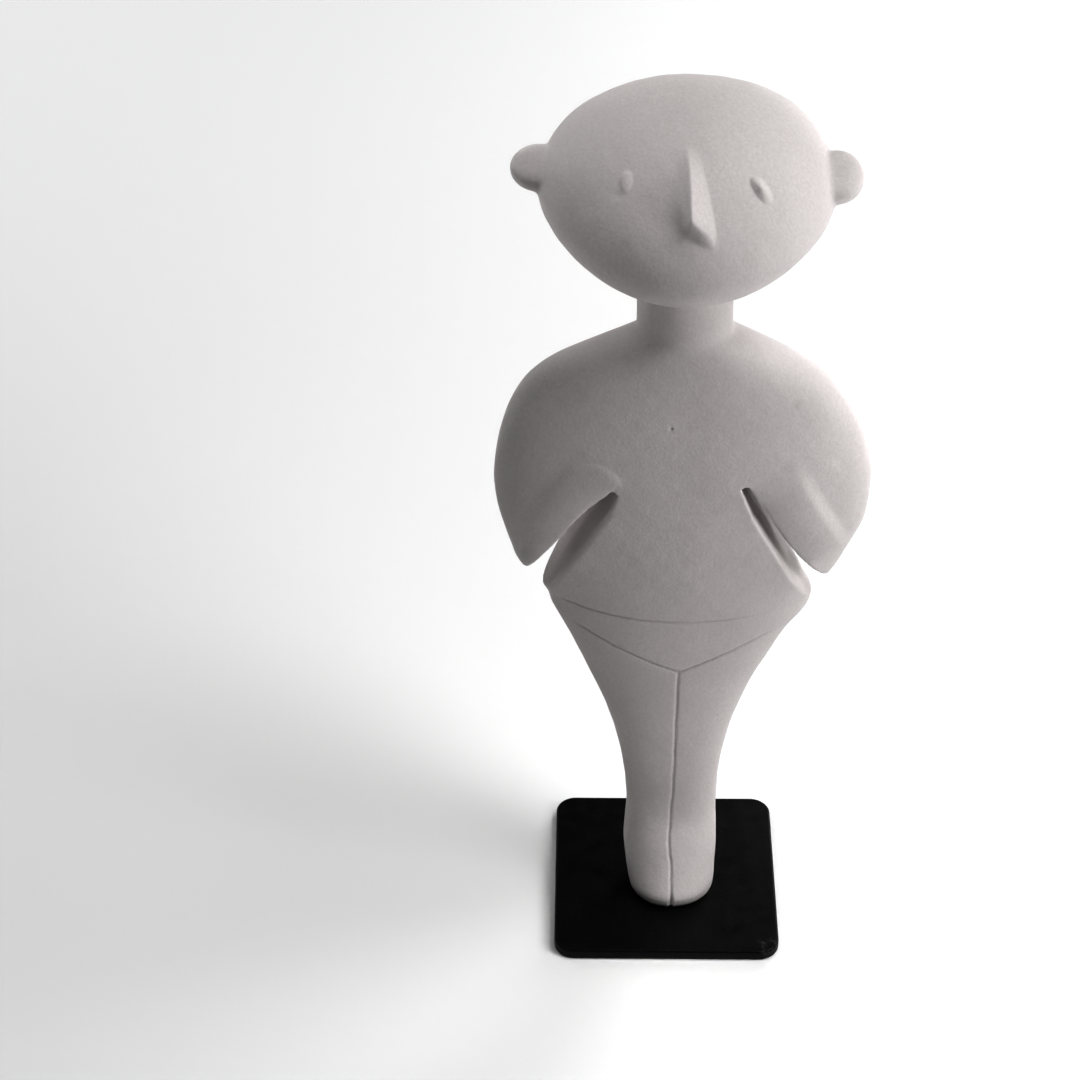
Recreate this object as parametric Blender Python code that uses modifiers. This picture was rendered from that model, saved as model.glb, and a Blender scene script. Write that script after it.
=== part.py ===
"""Stargazer figurine: a schematic standing figure cast in one piece, on a thin square base plate.

The figure looks up: its wide oval head is tilted back on a thick neck. The shoulders and arms are
one rounded slab, parted from the waist by a narrow slot on each side. The forearms are low bands
beside the slots. The legs are closed, with an incised line between them, a belt line and a V.

Metres, +Z up. The figure faces -Y. The origin is the middle of the plate's underside.
"""

import math

import bmesh
import bpy
from mathutils import Matrix, Vector

MM = 0.001

# Driving sizes
FIGURE_HEIGHT = 197 * MM
FIGURE_OFFSET_X = 0.9 * MM
FIGURE_OFFSET_Y = -0.65 * MM
PLATE_SIDE = 50.8 * MM
PLATE_THICKNESS = 2.6 * MM
PLATE_CORNER_RADIUS = 4.6 * MM
PLATE_RIM_ROUND = 0.5 * MM
SEAT_GAP = 0.3 * MM

# The figure's proportions are shares of its height, counted in units from the soles up.
# Half-widths from the middle line: (height above the soles, viewer's left, viewer's right)
WIDTHS = (
    (0, 9.1, 10.2),
    (4, 9.8, 10.4),
    (12, 10.6, 10.6),
    (24, 10.1, 10.3),
    (34, 11.0, 10.7),
    (44, 12.8, 12.2),
    (53, 15.4, 14.6),
    (61, 18.5, 17.5),
    (68, 21.3, 20.8),
    (75, 24.4, 24.4),
    (80, 26.7, 27.9),
    (84.5, 28.2, 29.3),
    (92, 33.7, 33.7),
    (98, 35.7, 36.2),
    (104, 37.3, 38.5),
    (110, 38.3, 39.2),
    (116, 38.5, 39.2),
    (122, 37.8, 38.2),
    (128, 36.5, 36.1),
    (134, 34.4, 32.9),
    (139, 31.3, 29.0),
    (143, 26.4, 24.1),
    (146.5, 18.4, 18.0),
    (149.5, 10.9, 11.2),
    (152, 5.7, 6.2),
    (155, 0, 0),
)
NECK_HALF_WIDTH = 9.5
NECK_BLEND = 1.0
NECK_BLEND_Z = 139
GROIN_Z = 66.5

# The neck rises from the shoulders' end into the head, and the head's centre is above its top.
SHOULDERS_END_Z = WIDTHS[-1][0]
NECK_RISE = 13
NECK_TOP_Z = SHOULDERS_END_Z + NECK_RISE
HEAD_RISE = 10.9

# Depth of the middle of the front and of the back, at a few heights: (height, front, back)
DEPTHS = (
    (0, -11.3, 8.4),
    (2.4, -11.6, 8.9),
    (4.2, -11.1, 9.0),
    (8, -9.4, 8.8),
    (12, -7.9, 8.6),
    (22, -4.5, 7.6),
    (40, -5.0, 8.0),
    (66, -6.6, 9.8),
    (80, -7.2, 10.8),
    (97, -7.2, 8.6),
    (118, -8.0, 8.2),
    (134, -7.4, 7.8),
    (146, -7.0, 8.0),
    (155, -6.8, 8.8),
    (NECK_TOP_Z, -5.4, 10.4),
)
FOOT_SECTION_POWER = 2.1
SECTION_POWER = 2.2
NECK_SECTION_POWER = 2.0
FOOT_SECTION_RUN = (10, 26)
NECK_SECTION_RUN = (128, 150)
SOLE_ROUND = 0.8

# Head, in units
HEAD_HALF_WIDTH = 29.1
HEAD_HALF_LENGTH = 23.5
HEAD_HALF_DEPTH = 13.0
HEAD_TILT = 50
HEAD_ROLL = 2.7
HEAD_OFFSET_X = -0.3
HEAD_CENTRE_Y = 5.1
CHIN_NARROWING = 0.14
CROWN_WIDENING = 0.09
CROWN_SHIFT = 1.8

NOSE_TOP = (0.2, 4.8)
NOSE_TIP = (1.0, -12.2)
NOSE_FOOT_Z = -14.8
NOSE_HALF_WIDTH = 4.5
NOSE_HEIGHT = 3.0

EYES = (("left", -11.4, -3.2, 1.2, 2.3, 4), ("right", 14.0, -3.3, 1.3, 2.7, -35))
EYE_RISE = 0.55
EARS = (("left", -29.0, 4.3, 5.9, 4.7), ("right", 29.0, 4.0, 5.3, 5.5))
EAR_HALF_DEPTH = 2.8
EAR_SET_BACK = 1.6

# Arms: each slot runs from its round top down the waist to the hip, and back up the arm's inner edge.
SLOTS = {
    -1: (
        (14.0, 114.3),
        ((15.4, 109.2), (19.5, 101.9), (23.2, 95.8), (26.8, 88.6), (29.2, 84.4)),
        ((32.2, 91.1), (31.2, 92.3), (29.2, 95.2), (24.4, 102.4), (21.3, 107.2), (18.8, 110.4)),
    ),
    1: (
        (13.2, 115.8),
        ((14.9, 108.6), (19.9, 98.8), (23.8, 90.9), (27.2, 85.2), (29.6, 82.6)),
        ((31.4, 89.4), (30.3, 90.6), (28.4, 93.3), (25.5, 97.6), (22.5, 102.2), (17.1, 111.4)),
    ),
}
SLOT_TOP_RADIUS = 0.95

# Forearms: low bands from the hand by the armpit down to the elbow, along each slot
FOREARM_AXIS = ((15.6, 119.6), (30.6, 96.6))
FOREARM_HALF_WIDTH = 6.6
FOREARM_HALF_DEPTH = 0.8
FOREARM_RISE = 0.1
FOREARM_ENDS = 2.2

# Incised lines
LEG_LINE_RADIUS = 0.55
BELT_LINE_RADIUS = 0.3
BELT_Z = 81.2
BELT_END = (26.6, 84.2)
BELT_POWER = 1.6
VEE_END = (24.0, 78.8)

# Rings of the trunk's loft: (from height, to height, how many)
RING_RUNS = (
    (SOLE_ROUND, 5, 3),
    (5, 24, 5),
    (24, 84, 14),
    (84, 134, 14),
    (134, 150, 9),
    (150, SHOULDERS_END_Z, 4),
    (SHOULDERS_END_Z, NECK_TOP_Z, 3),
)

FIGURE_COLOUR = (0.78, 0.76, 0.75, 1)
PLATE_COLOUR = (0.012, 0.013, 0.013, 1)


def clear_scene():
    for obj in list(bpy.data.objects):
        bpy.data.objects.remove(obj, do_unlink=True)


def collection(name, hidden=False):
    made = bpy.data.collections.new(name)
    bpy.context.scene.collection.children.link(made)
    made.hide_render = hidden
    return made


def material(name, colour, roughness):
    made = bpy.data.materials.new(name)
    made.use_nodes = True
    shader = made.node_tree.nodes["Principled BSDF"]
    shader.inputs["Base Color"].default_value = colour
    shader.inputs["Roughness"].default_value = roughness
    shader.inputs["Metallic"].default_value = 0
    return made


def object_of(bm, name, home):
    bmesh.ops.recalc_face_normals(bm, faces=bm.faces)
    mesh = bpy.data.meshes.new(name)
    bm.to_mesh(mesh)
    bm.free()
    made = bpy.data.objects.new(name, mesh)
    home.objects.link(made)
    return made


def smooth_step(low, high, x):
    t = min(1, max(0, (x - low) / (high - low)))
    return t * t * (3 - 2 * t)


def smooth_max(a, b, blend):
    return 0.5 * (a + b + math.hypot(a - b, blend))


def along_stations(stations, z, column):
    """A value between stations, on a smooth curve through them (Catmull-Rom on uneven steps)."""
    last = len(stations) - 1
    z = min(max(z, stations[0][0]), stations[last][0])
    i = max(k for k in range(last) if stations[k][0] <= z)

    def slope(k):
        low, high = stations[max(k - 1, 0)], stations[min(k + 1, last)]
        return (high[column] - low[column]) / (high[0] - low[0])

    a, b = stations[i], stations[i + 1]
    step = b[0] - a[0]
    t = (z - a[0]) / step
    return (
        (2 * t**3 - 3 * t**2 + 1) * a[column]
        + (t**3 - 2 * t**2 + t) * step * slope(i)
        + (3 * t**2 - 2 * t**3) * b[column]
        + (t**3 - t**2) * step * slope(i + 1)
    )


def trunk_half_width(z, side):
    shoulder = along_stations(WIDTHS, z, 1 if side < 0 else 2)
    return smooth_max(NECK_HALF_WIDTH, shoulder, NECK_BLEND) if z > NECK_BLEND_Z else shoulder


def trunk_section(z):
    """Middle, half-depth and corner power of the trunk's section at a height."""
    front = along_stations(DEPTHS, z, 1)
    back = along_stations(DEPTHS, z, 2)
    neck = smooth_step(*NECK_SECTION_RUN, z)
    foot = 1 - smooth_step(*FOOT_SECTION_RUN, z)
    power = SECTION_POWER + (NECK_SECTION_POWER - SECTION_POWER) * neck
    power += (FOOT_SECTION_POWER - SECTION_POWER) * foot
    return (front + back) / 2, (back - front) / 2, power


def trunk_front(x, z):
    middle, half_depth, power = trunk_section(z)
    share = min(1, abs(x) / trunk_half_width(z, x))
    return middle - half_depth * (1 - share**power) ** (1 / power)


def ring(z, inset=0):
    count = 44
    middle, half_depth, power = trunk_section(z)
    points = []
    for i in range(count):
        angle = 2 * math.pi * (i + 0.5) / count
        c, s = math.cos(angle), math.sin(angle)
        x = (trunk_half_width(z, c) - inset) * math.copysign(abs(c) ** (2 / power), c)
        y = middle + (half_depth - inset) * math.copysign(abs(s) ** (2 / power), s)
        points.append(Vector((x, y, z)))
    return points


def ring_heights(runs):
    heights = []
    for low, high, count in runs:
        heights += [low + (high - low) * i / count for i in range(count)]
    return heights + [runs[-1][1]]


def trunk(home):
    """Feet, legs, torso, arms and neck: one loft of rounded sections."""
    bm = bmesh.new()
    rings = [[bm.verts.new(p) for p in ring(0, SOLE_ROUND)]]
    for z in ring_heights(RING_RUNS):
        rings.append([bm.verts.new(p) for p in ring(z)])
    for low, high in zip(rings, rings[1:]):
        for i in range(len(low)):
            j = (i + 1) % len(low)
            bm.faces.new((low[i], low[j], high[j], high[i]))
    bm.faces.new(rings[0])
    bm.faces.new(rings[-1])
    return object_of(bm, "trunk", home)


def ellipsoid(name, home, centre, half_sizes, turn=None, segments=16):
    bm = bmesh.new()
    bmesh.ops.create_uvsphere(bm, u_segments=segments, v_segments=segments * 5 // 8, radius=1)
    place = Matrix.Translation(centre) @ (turn or Matrix.Identity(4)) @ Matrix.Diagonal((*half_sizes, 1))
    bmesh.ops.transform(bm, matrix=place, verts=bm.verts)
    return object_of(bm, name, home)


def units_tall():
    """The figure's height in units: the head's centre, and how far the tilted oval reaches above it."""
    tilt = math.radians(HEAD_TILT)
    reach = math.hypot(HEAD_HALF_LENGTH * math.cos(tilt), HEAD_HALF_DEPTH * math.sin(tilt))
    return NECK_TOP_Z + HEAD_RISE + reach


def head_place():
    """Carries the head's own frame (face to -Y, crown to +Z) to the figure's."""
    centre = Vector((HEAD_OFFSET_X, HEAD_CENTRE_Y, NECK_TOP_Z + HEAD_RISE))
    tilt = Matrix.Rotation(-math.radians(HEAD_TILT), 4, "X")
    return Matrix.Translation(centre) @ tilt @ Matrix.Rotation(math.radians(HEAD_ROLL), 4, "Y")


def width_share(z):
    chin = CHIN_NARROWING * max(0, -z / HEAD_HALF_LENGTH) ** 1.2
    return 1 - chin + CROWN_WIDENING * max(0, z / HEAD_HALF_LENGTH) ** 2


def crown_shift(z):
    return CROWN_SHIFT * max(0, z / HEAD_HALF_LENGTH) ** 2


def head_surface(x, z):
    """The face's -Y side in the head's own frame."""
    across = (x - crown_shift(z)) / (HEAD_HALF_WIDTH * width_share(z))
    share = 1 - across**2 - (z / HEAD_HALF_LENGTH) ** 2
    return -HEAD_HALF_DEPTH * math.sqrt(max(0, share))


def head_forms(home):
    place = head_place()
    bm = bmesh.new()
    bmesh.ops.create_uvsphere(bm, u_segments=38, v_segments=22, radius=1)
    for vert in bm.verts:
        z = vert.co.z * HEAD_HALF_LENGTH
        x = vert.co.x * HEAD_HALF_WIDTH * width_share(z) + crown_shift(z)
        vert.co = (x, vert.co.y * HEAD_HALF_DEPTH, z)
    bmesh.ops.transform(bm, matrix=place, verts=bm.verts)
    forms = [object_of(bm, "head", home), nose(home, place)]
    for side, x, z, half_width, half_height, lean in EYES:
        centre = place @ Vector((x, head_surface(x, z), z))
        turn = place.to_3x3().to_4x4() @ Matrix.Rotation(math.radians(lean), 4, "Y")
        forms.append(ellipsoid(f"eye_{side}", home, centre, (half_width, EYE_RISE, half_height), turn, 10))
    for side, x, z, half_width, half_height in EARS:
        centre = place @ Vector((x, EAR_SET_BACK, z))
        turn = place.to_3x3().to_4x4() @ Matrix.Rotation(math.radians(7), 4, "X")
        forms.append(ellipsoid(f"ear_{side}", home, centre, (half_width, EAR_HALF_DEPTH, half_height), turn, 14))
    return forms


def nose(home, place):
    """A long wedge whose crest rises from the brow to the tip."""
    sunk = 2.0
    top_x, top_z = NOSE_TOP
    tip_x, tip_z = NOSE_TIP
    points = [
        (top_x, head_surface(top_x, top_z) - 0.05, top_z),
        (tip_x, head_surface(tip_x, tip_z) - NOSE_HEIGHT, tip_z),
        (tip_x, head_surface(tip_x, NOSE_FOOT_Z), NOSE_FOOT_Z - 0.6),
        (tip_x, head_surface(0, 0) + 3 * sunk, 0),
    ]
    for side in (-1, 1):
        x = tip_x + side * NOSE_HALF_WIDTH
        points.append((x, head_surface(x, NOSE_FOOT_Z), NOSE_FOOT_Z))
        points.append((top_x + side, head_surface(top_x, top_z) + sunk, top_z))
    bm = bmesh.new()
    for point in points:
        bm.verts.new(point)
    bmesh.ops.convex_hull(bm, input=bm.verts)
    bmesh.ops.transform(bm, matrix=place, verts=bm.verts)
    return object_of(bm, "nose", home)


def forearm(side, home):
    """A low oval band on the front. The front curves away under it, so its outer edge stands out most."""
    hand, elbow = (Vector((side * x, trunk_front(side * x, z), z)) for x, z in FOREARM_AXIS)
    run = elbow - hand
    centre = (hand + elbow) / 2
    centre.y = trunk_front(centre.x, centre.z) + FOREARM_HALF_DEPTH - FOREARM_RISE
    across = Vector((run.z, 0, -run.x)).normalized()
    along = run.normalized()
    turn = Matrix((across, along.cross(across), along)).transposed().to_4x4()
    half_sizes = (FOREARM_HALF_WIDTH, FOREARM_HALF_DEPTH, run.length / 2 + FOREARM_ENDS)
    return ellipsoid("forearm", home, centre, half_sizes, turn, 22)


def slot_outline(side):
    """The slot between arm and waist, seen from the front: round at the top, open below."""
    (x, z), waist, arm = SLOTS[side]
    turns = [math.radians(20 + 32 * i) for i in range(6)]
    points = [(x + SLOT_TOP_RADIUS * math.cos(a), z + SLOT_TOP_RADIUS * math.sin(a)) for a in turns]
    points += list(waist)
    points += [(60, waist[-1][1] - 1), (60, arm[0][1] - 1), (arm[0][0] + 2.5, arm[0][1] - 0.7)]
    points += list(arm)
    return [(side * px, pz) for px, pz in points]


def slot_cutter(side, home):
    bm = bmesh.new()
    reach = 40
    front = [bm.verts.new((x, -reach, z)) for x, z in slot_outline(side)]
    face = bm.faces.new(front)
    pushed = bmesh.ops.extrude_face_region(bm, geom=[face])
    moved = [g for g in pushed["geom"] if isinstance(g, bmesh.types.BMVert)]
    bmesh.ops.translate(bm, verts=moved, vec=(0, 2 * reach, 0))
    return object_of(bm, "slot_cutter", home)


def line_cutter(name, points, radius, home):
    """A thin tube along a line on the figure's front, as a mesh that can cut."""
    curve = bpy.data.curves.new(name, "CURVE")
    curve.dimensions = "3D"
    curve.bevel_depth = radius
    curve.bevel_resolution = 1
    curve.use_fill_caps = True
    spline = curve.splines.new("POLY")
    spline.points.add(len(points) - 1)
    for spot, point in zip(spline.points, points):
        spot.co = (*point, 1)
    guide = bpy.data.objects.new(name + "_guide", curve)
    home.objects.link(guide)
    bpy.context.view_layer.update()
    graph = bpy.context.evaluated_depsgraph_get()
    mesh = bpy.data.meshes.new_from_object(guide.evaluated_get(graph))
    bpy.data.objects.remove(guide, do_unlink=True)
    bm = bmesh.new()
    bm.from_mesh(mesh)
    bmesh.ops.remove_doubles(bm, verts=bm.verts, dist=radius / 50)
    return object_of(bm, name, home)


def belt_height(x):
    share = abs(x) / BELT_END[0]
    return BELT_Z + (BELT_END[1] - BELT_Z) * share**BELT_POWER


def line_cutters(home):
    def on_front(x, z):
        return Vector((x, trunk_front(x, z), z))

    leg = [on_front(0, (GROIN_Z + 1) * (1 - i / 31)) for i in range(31)]
    leg.append(Vector((0, leg[-1].y + 0.4, -0.6)))
    belt = [on_front(BELT_END[0] * i / 12, belt_height(BELT_END[0] * i / 12)) for i in range(-12, 13)]
    cutters = [
        line_cutter("leg_line", leg, LEG_LINE_RADIUS, home),
        line_cutter("belt_line", belt, BELT_LINE_RADIUS, home),
    ]
    for side in (-1, 1):
        vee = [
            on_front(side * VEE_END[0] * i / 9, GROIN_Z + (VEE_END[1] - GROIN_Z) * i / 9)
            for i in range(10)
        ]
        cutters.append(line_cutter("vee_line", vee, BELT_LINE_RADIUS, home))
    return cutters


def combine(base, other, operation):
    step = base.modifiers.new(f"{operation.lower()}_{other.name}", "BOOLEAN")
    step.operation = operation
    step.object = other
    step.solver = "EXACT"


def hide(helper):
    helper.hide_render = True
    helper.display_type = "WIRE"


def build_figure(home, helpers):
    figure = trunk(home)
    figure.name = "figure"
    added = head_forms(helpers) + [forearm(side, helpers) for side in (-1, 1)]
    cut = [slot_cutter(side, helpers) for side in (-1, 1)]
    cut += line_cutters(helpers)
    for form in added:
        combine(figure, form, "UNION")
    for cutter in cut:
        combine(figure, cutter, "DIFFERENCE")
    seat = Vector((FIGURE_OFFSET_X, FIGURE_OFFSET_Y, PLATE_THICKNESS + SEAT_GAP))
    place = Matrix.Translation(seat) @ Matrix.Scale(FIGURE_HEIGHT / units_tall(), 4)
    for obj in [figure, *added, *cut]:
        obj.matrix_world = place
    for helper in added + cut:
        hide(helper)
    figure.data.materials.append(material("white_cast_stone", FIGURE_COLOUR, 0.75))
    figure.data.shade_smooth()
    figure.data.set_sharp_from_angle(angle=math.radians(40))
    return figure


def build_plate(home):
    bm = bmesh.new()
    bmesh.ops.create_cube(bm, size=1)
    bmesh.ops.scale(bm, vec=(PLATE_SIDE, PLATE_SIDE, PLATE_THICKNESS), verts=bm.verts)
    bmesh.ops.translate(bm, vec=(0, 0, PLATE_THICKNESS / 2), verts=bm.verts)
    upright = [e for e in bm.edges if abs(e.verts[0].co.z - e.verts[1].co.z) > PLATE_THICKNESS / 2]
    bmesh.ops.bevel(
        bm, geom=upright, offset=PLATE_CORNER_RADIUS, offset_type="OFFSET",
        segments=8, profile=0.5, affect="EDGES",
    )
    plate = object_of(bm, "base_plate", home)
    rim = plate.modifiers.new("rim", "BEVEL")
    rim.width = PLATE_RIM_ROUND
    rim.segments = 3
    rim.limit_method = "ANGLE"
    rim.angle_limit = math.radians(40)
    plate.data.materials.append(material("black_plate", PLATE_COLOUR, 0.4))
    plate.data.shade_smooth()
    plate.data.set_sharp_from_angle(angle=math.radians(40))
    return plate


def main():
    clear_scene()
    home = collection("stargazer_figurine")
    helpers = collection("cutters_and_forms", hidden=True)
    build_plate(home)
    build_figure(home, helpers)


main()
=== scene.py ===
import math

import bmesh
import bpy
import numpy as np
from mathutils import Matrix, Vector


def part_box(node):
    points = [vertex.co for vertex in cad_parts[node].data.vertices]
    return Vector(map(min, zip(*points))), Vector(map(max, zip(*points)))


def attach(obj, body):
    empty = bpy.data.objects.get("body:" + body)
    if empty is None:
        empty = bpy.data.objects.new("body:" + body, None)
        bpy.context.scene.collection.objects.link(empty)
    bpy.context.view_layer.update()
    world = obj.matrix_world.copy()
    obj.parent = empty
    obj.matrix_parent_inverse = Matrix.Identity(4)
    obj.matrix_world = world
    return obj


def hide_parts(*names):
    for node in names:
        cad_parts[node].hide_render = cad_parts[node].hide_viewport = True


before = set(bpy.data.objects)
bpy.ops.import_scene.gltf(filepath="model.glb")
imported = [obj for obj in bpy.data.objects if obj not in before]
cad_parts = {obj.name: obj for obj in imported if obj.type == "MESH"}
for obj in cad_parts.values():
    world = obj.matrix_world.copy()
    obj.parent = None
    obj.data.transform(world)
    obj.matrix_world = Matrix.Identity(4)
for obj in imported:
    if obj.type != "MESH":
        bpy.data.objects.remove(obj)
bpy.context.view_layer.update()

MM = 0.001
PLATE_LOW, PLATE_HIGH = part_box("base_plate")
FIGURE_LOW, FIGURE_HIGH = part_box("figure")
PLATE_TOP = PLATE_HIGH.z
SOLES = FIGURE_LOW.z
FIGURE_OFFSET = (0.9 * MM, -0.65 * MM)
PLATE_CORNER_RADIUS = 4.6 * MM
PLATE_RIM_ROUND = 0.5 * MM

# Camera, from the plate's corners and the figure's outline in the photograph
CAMERA_LENS = 90.2
CAMERA_SENSOR = 36
CAMERA_CLIP = (0.01, 20)
CAMERA_AT = (-17.5 * MM, -453.65 * MM, 444 * MM + PLATE_TOP)
CAMERA_PITCH = 37.4
CAMERA_YAW = 1.36
CAMERA_ROLL = -0.55

# Studio lights: name, place, aim, size, spread in degrees and power. Three narrow ones fill the head's
# left and the feet.
TRUNK_AIM = (0, 0, 0.1)
HEAD_AIM = (0, 0, 0.179)
FOOT_AIM = (0, -0.008, 0.012)
LIGHTS = (
    ("near_right", (0.20, -0.10, 0.18), TRUNK_AIM, 0.12, 180, 0.389),
    ("high_right", (0.329, 0, 0.718), TRUNK_AIM, 0.35, 180, 3.02),
    ("high_left", (-0.329, 0, 0.718), TRUNK_AIM, 0.35, 180, 1.12),
    ("low_back_right", (0.342, 0.593, 0.246), TRUNK_AIM, 0.35, 180, 2.86),
    ("back_left", (-0.423, 0.504, 0.339), TRUNK_AIM, 0.35, 180, 0.85),
    ("left_fill", (-0.45, 0.10, 0.28), HEAD_AIM, 0.08, 22, 0.0098),
    ("left_front_fill", (-0.35, -0.25, 0.35), HEAD_AIM, 0.08, 22, 0.0034),
    ("foot_fill", (0.02, -0.20, 0.56), FOOT_AIM, 0.03, 6, 0.0011),
)
WORLD_STRENGTH = 0.02
VIEW_GAMMA = 0.7

# Floor, and the backdrop: where its ring on the floor fades in, its profile as (radius, height), its shade
FLOOR_HALF_SIDE = 3
FLOOR_COLOUR = (0.94, 0.94, 0.94, 1)
FLOOR_ROUGHNESS = 0.8
BACKDROP_AROUND = 64
BACKDROP_FADE = (0.25, 0.7)
BACKDROP_PROFILE = (
    (0.2, 0.001), (2.4, 0.001), (2.9, 0.1), (3.3, 0.4), (3.5, 0.9), (3.5, 2.0), (3.1, 3.1), (2.2, 4.0),
    (0.9, 4.5), (0.01, 4.6),
)
BACKDROP_SHADE = 0.95

# Lengths from here to the colours are in the figure's own unit, U metres, which is about a millimetre.
# Half-widths and depths of the trunk: height above the soles, then left and right, or front and back
WIDTHS = np.array([
    (0, 9.1, 10.2), (4, 9.8, 10.4), (12, 10.6, 10.6), (24, 10.1, 10.3), (34, 11.0, 10.7),
    (44, 12.8, 12.2), (53, 15.4, 14.6), (61, 18.5, 17.5), (68, 21.3, 20.8), (75, 24.4, 24.4),
    (80, 26.7, 27.9), (84.5, 28.2, 29.3), (92, 33.7, 33.7), (98, 35.7, 36.2), (104, 37.3, 38.5),
    (110, 38.3, 39.2), (116, 38.5, 39.2), (122, 37.8, 38.2), (128, 36.5, 36.1), (134, 34.4, 32.9),
    (139, 31.3, 29.0), (143, 26.4, 24.1), (146.5, 18.4, 18.0), (149.5, 10.9, 11.2), (152, 5.7, 6.2),
    (155, 0, 0),
])
DEPTHS = np.array([
    (0, -11.4, 8.4), (2.3, -11.75, 8.9), (3.2, -11.5, 9.0), (4.6, -10.75, 9.0), (8, -9.0, 8.8),
    (12, -7.3, 8.6), (22, -4.3, 7.6), (40, -5.0, 8.0), (66, -6.6, 9.8), (80, -7.2, 10.8),
    (97, -7.2, 8.6), (118, -8.0, 8.2), (134, -7.4, 7.8), (146, -7.0, 8.0), (155, -6.8, 8.8),
    (168, -5.4, 10.4),
])
NECK_TOP_Z = 168
NECK_HALF_WIDTH = 9.5
NECK_BLEND = 1.0
NECK_BLEND_Z = 139
SECTION_POWER = 2.2
NECK_POWER_LESS = 0.2
NECK_POWER_RUN = (128, 150)
FOOT_POWER_LESS = 0.1
FOOT_POWER_RUN = (10, 26)
SOLE_ROUND = 0.8
SOLE_EDGE_Z = 0.4

# Rings of the trunk: how many points round, and runs of (from height, to height, how many)
TRUNK_AROUND = 150
TRUNK_RINGS = ((SOLE_ROUND, 136, 240), (136.2, NECK_TOP_Z, 110))

# Head and face. An eye is x, height, half-width, half-height, lean in degrees, rise, and how far it is a
# wedge. An ear is x, height, half-width and half-height. Both are on the head's own axes.
HEAD_HALF = (29.1, 13.0, 23.5)
HEAD_SEGMENTS = (160, 96)
HEAD_TILT = 50
HEAD_ROLL = 2.7
HEAD_OFFSET_X = -0.3
HEAD_CENTRE_Y = 5.1
HEAD_RISE = 10.9
HEAD_CENTRE_Z = NECK_TOP_Z + HEAD_RISE
CHIN_NARROWING = 0.14
CHIN_POWER = 1.2
CROWN_WIDENING = 0.09
CROWN_SHIFT = 1.8
NOSE_TOP = (-0.8, 4.6)
NOSE_TIP = (1.0, -11.2)
NOSE_RIDGE_BEND = 0.6
NOSE_FOOT_FALL = 0.48
NOSE_UNDERSIDE = (2.7, 8)
NOSE_UNDERSIDE_RUN = 3.4
NOSE_TOP_HALF_WIDTH = 1.9
NOSE_WIDENING = 2.8
NOSE_HEIGHT = 3.0
NOSE_PROFILE_POWER = 1.1
NOSE_RIGHT_POWER = 1.1
NOSE_LEFT_POWER = 2.1
NOSE_LEFT_WIDTH_SHARE = 1.2
EYES = ((-11.6, -3.2, 1.3, 2.4, 4, 0.56, 0.65), (14.0, -3.3, 1.4, 2.9, -38, 0.95, 0))
EYE_DOME_EDGE = 1.08
EYE_WEDGE_EDGE = 1.05
EYE_WEDGE_ROUND = 0.45
EYE_WEDGE_MIDDLE = 0.55
EYE_WEDGE_SLOPE = 0.45
EYE_PIT = (-13.1, -5.9)
EYE_PIT_DEPTH = 0.14
EYE_PIT_SPREAD = 0.5
EARS = ((-28.2, 2.6, 6.1, 4.7), (28.9, 3.5, 5.3, 5.3))
EAR_HALF_DEPTH = 2.8
EAR_SET_BACK = -1.4
EAR_FLATNESS = 3.2
EAR_SEGMENTS = (64, 40)
EAR_JOIN_REACH = (5.2, 7.8)
EAR_JOIN_WIDTH = 2.4
EAR_JOIN_FROM_X = 20
EAR_JOIN_ROUNDS = 24

# Slots between arm and waist, by side: the round top's middle, the waist's edge down, the arm's edge up.
# The top's turns are in degrees: from, to and how many.
SLOTS = {
    -1: (
        (14.0, 114.3),
        ((15.4, 109.2), (19.5, 101.9), (23.2, 95.8), (26.8, 88.6), (29.2, 84.4)),
        ((32.2, 91.1), (31.2, 92.3), (29.2, 95.2), (24.4, 102.4), (21.3, 107.2), (18.8, 110.4)),
    ),
    1: (
        (13.2, 115.8),
        ((14.9, 108.6), (19.9, 98.8), (23.8, 90.9), (27.2, 85.2), (29.6, 82.6)),
        ((31.4, 89.4), (30.3, 90.6), (28.1, 93.1), (24.9, 97.2), (21.9, 101.8), (16.8, 111.3)),
    ),
}
SLOT_TOP_RADIUS = 0.95
SLOT_TOP_TURNS = (20, 180, 11)
SLOT_OPENING_X = 60
SLOT_OPENING_DROP = 1
SLOT_ARM_CORNER = (2.5, 0.7)
SLOT_CUT_REACH = 40

HEAD_REACH = math.hypot(
    HEAD_HALF[2] * math.cos(math.radians(HEAD_TILT)), HEAD_HALF[1] * math.sin(math.radians(HEAD_TILT))
)
U = (FIGURE_HIGH.z - SOLES) / (HEAD_CENTRE_Z + HEAD_REACH)

# Incised lines on the front, as (x, height) points. A cut is its depth and half-width, and a run says
# over which share of a line it comes in or fades.
LEG_LINE = (
    (0.5, 66.9), (0.45, 60), (0.35, 50), (0.3, 40), (0.15, 31), (-0.15, 22.9), (-0.45, 16.5),
    (-0.3, 12.6), (0.15, 9.6), (0.2, 5), (0.1, -1),
)
BELT_LINE = (
    (-26.8, 85.1), (-24.3, 84.5), (-20, 83.4), (-13.7, 82.2), (-5.8, 81.5), (2.7, 81.2), (9, 81.4),
    (15.4, 82), (21, 82.9), (26.4, 84.0),
)
VEE_LINE = (
    (-23.4, 78.9), (-20.3, 77.3), (-13.1, 73.2), (-5.6, 69.3), (0.5, 66.5), (8.2, 70.5), (18.1, 75.4),
    (23.4, 78.1),
)
LEG_CUT = (0.34, 0.25)
TOE_NOTCH_CUT = (0.55, 0.42)
TOE_NOTCH_Z = 2.4
TOE_NOTCH_HALF_HEIGHT = 1.2
BELT_CUT = (0.32, 0.22)
BELT_START_RUN = (0, 0.1)
BELT_END_RUN = (0.62, 0.95)
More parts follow.
